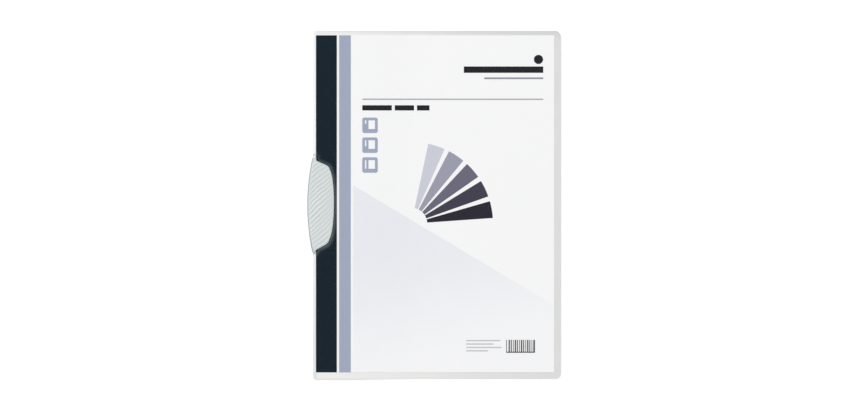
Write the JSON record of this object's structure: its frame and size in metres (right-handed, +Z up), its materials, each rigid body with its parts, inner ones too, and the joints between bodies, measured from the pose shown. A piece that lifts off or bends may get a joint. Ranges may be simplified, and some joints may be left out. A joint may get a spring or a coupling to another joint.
{
  "type": "clip folder",
  "caption": "Flat document folder with a clear front cover, a milky back cover and a ribbed plastic clip that swings out sideways at the spine, holding one printed sheet.",
  "frame": {"origin": "centre of the whole object's outline in plan, on the surface that it lies on", "axes": "+Y from the foot to the head of the sheet, +X from the spine to the fore-edge, +Z up through the front cover"},
  "size_m": [0.2234, 0.3066, 0.0042],
  "materials": {
    "milky_sheet": "satin",
    "clear_film": "clear",
    "clip_plastic": "satin",
    "rivet_plastic": "satin",
    "paper": "matte",
    "ink_dark": "matte",
    "ink_blue_grey": "matte",
    "ink_rule": "matte",
    "ink_title": "matte",
    "ink_pale": "matte",
    "ink_bars": "matte",
    "ink_small": "matte",
    "ink_fan_1": "matte",
    "ink_fan_2": "matte",
    "ink_fan_3": "matte",
    "ink_fan_4": "matte",
    "ink_fan_5": "matte"
  },
  "bodies": {
    "folder": {"back_cover": "milky_sheet", "insert_sheet": "paper", "pivot_rivet": "rivet_plastic", "print_dark_band": "ink_dark", "print_blue_band": "ink_blue_grey", "print_rule": "ink_rule", "print_title_bar_1": "ink_title", "print_title_bar_2": "ink_title", "print_title_bar_3": "ink_title", "print_symbol_1": "ink_blue_grey", "print_symbol_2": "ink_blue_grey", "print_symbol_3": "ink_blue_grey", "print_corner_bar": "ink_title", "print_corner_line": "ink_small", "print_corner_disc": "ink_title", "print_pale_field": "ink_pale", "print_fan_blade_1": "ink_fan_1", "print_fan_blade_2": "ink_fan_2", "print_fan_blade_3": "ink_fan_3", "print_fan_blade_4": "ink_fan_4", "print_fan_blade_5": "ink_fan_5", "print_bar_block": "ink_bars", "print_small_line_1": "ink_small", "print_small_line_2": "ink_small", "print_small_line_3": "ink_small", "print_small_line_4": "ink_small"},
    "cover": {"front_cover": "clear_film"},
    "clip": {"swing_clip": "clip_plastic"}
  },
  "joints": [
    {"name": "front_cover_hinge", "type": "hinge", "parent": "folder", "child": "cover", "pos_m": [-0.10683, 0, 0.0044], "axis": [0, -1, 0], "range_deg": [0, 180]},
    {"name": "clip_swing", "type": "hinge", "parent": "folder", "child": "clip", "pos_m": [-0.10522, 0.0418, 0], "axis": [0, 0, -1], "range_deg": [0, 90]}
  ]
}
